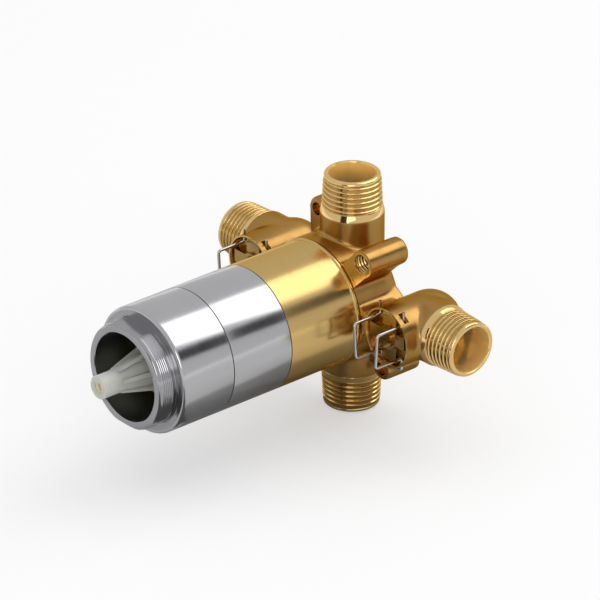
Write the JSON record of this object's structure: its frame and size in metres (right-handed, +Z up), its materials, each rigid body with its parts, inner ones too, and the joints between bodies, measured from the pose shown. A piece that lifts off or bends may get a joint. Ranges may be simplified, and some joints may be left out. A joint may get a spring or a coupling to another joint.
{
  "type": "concealed mixing valve",
  "caption": "Brass in-wall mixing valve with a temperature cartridge, sprung check poppets, screw-down inlet stops held by wire clips and threaded pipe ports.",
  "frame": {"origin": "where the barrel's axis crosses the axes of the vertical ports, at the centre of the fixing holes", "axes": "+Y along the barrel into the wall, so the handle end faces -Y; +Z up; +X to the right-hand inlet"},
  "size_m": [0.1252, 0.1303, 0.0903],
  "materials": {
    "cast_brass": "cast satin",
    "turned_brass": "turned satin",
    "satin_chrome": "satin",
    "spring_steel": "polished",
    "nylon": "satin",
    "seal_rubber": "matt"
  },
  "bodies": {
    "valve": {"valve_body": "cast_brass", "body_collar": "turned_brass", "rear_sleeve": "satin_chrome", "front_sleeve": "satin_chrome", "nose_ring": "satin_chrome", "cartridge_body": "turned_brass", "cartridge_end": "turned_brass", "cartridge_seals": "seal_rubber", "cartridge_nut": "turned_brass", "spindle_circlip": "spring_steel", "stop_insert_left": "turned_brass", "stop_insert_right": "turned_brass", "stop_seal_left": "seal_rubber", "stop_seal_right": "seal_rubber", "retaining_clip_left": "spring_steel", "retaining_clip_right": "spring_steel"},
    "control": {"control_spindle": "turned_brass", "handle_adapter": "nylon", "adapter_insert": "turned_brass"},
    "mixing_stack": {"pusher": "nylon", "overtravel_spring": "spring_steel", "element_pin": "spring_steel", "wax_element": "turned_brass", "mixing_shuttle": "nylon", "return_spring": "spring_steel"},
    "left_screw": {"stop_screw_left": "turned_brass"},
    "left_plug": {"stop_plug_left": "turned_brass"},
    "left_poppet": {"check_poppet_left": "nylon", "check_spring_left": "spring_steel"},
    "right_screw": {"stop_screw_right": "turned_brass"},
    "right_plug": {"stop_plug_right": "turned_brass"},
    "right_poppet": {"check_poppet_right": "nylon", "check_spring_right": "spring_steel"}
  },
  "joints": [
    {"name": "control_turn", "type": "hinge", "parent": "valve", "child": "control", "pos_m": [0, -0.098, 0], "axis": [0, 1, 0], "range_deg": [0, 270]},
    {"name": "stack_slide", "type": "slide", "parent": "valve", "child": "mixing_stack", "axis": [0, 1, 0], "range_m": [0, 0.0016]},
    {"name": "left_screw_turn", "type": "hinge", "parent": "valve", "child": "left_screw", "pos_m": [-0.0366, -0.015, 0], "axis": [0, 1, 0], "range_deg": [0, 540]},
    {"name": "left_plug_slide", "type": "slide", "parent": "valve", "child": "left_plug", "axis": [0, 1, 0], "range_m": [0, 0.0015]},
    {"name": "left_poppet_lift", "type": "slide", "parent": "valve", "child": "left_poppet", "axis": [0, -1, 0], "range_m": [0, 0.0009], "stiffness_N_per_m": 60, "springref_m": -0.002},
    {"name": "right_screw_turn", "type": "hinge", "parent": "valve", "child": "right_screw", "pos_m": [0.0366, -0.015, 0], "axis": [0, 1, 0], "range_deg": [0, 540]},
    {"name": "right_plug_slide", "type": "slide", "parent": "valve", "child": "right_plug", "axis": [0, 1, 0], "range_m": [0, 0.0015]},
    {"name": "right_poppet_lift", "type": "slide", "parent": "valve", "child": "right_poppet", "axis": [0, -1, 0], "range_m": [0, 0.0009], "stiffness_N_per_m": 60, "springref_m": -0.002}
  ],
  "couplings": [
    {"joint": "control_turn", "follows": "stack_slide", "rad_per_m": 2945.2},
    {"joint": "left_screw_turn", "follows": "left_plug_slide", "rad_per_m": 6283.2},
    {"joint": "right_screw_turn", "follows": "right_plug_slide", "rad_per_m": 6283.2}
  ]
}
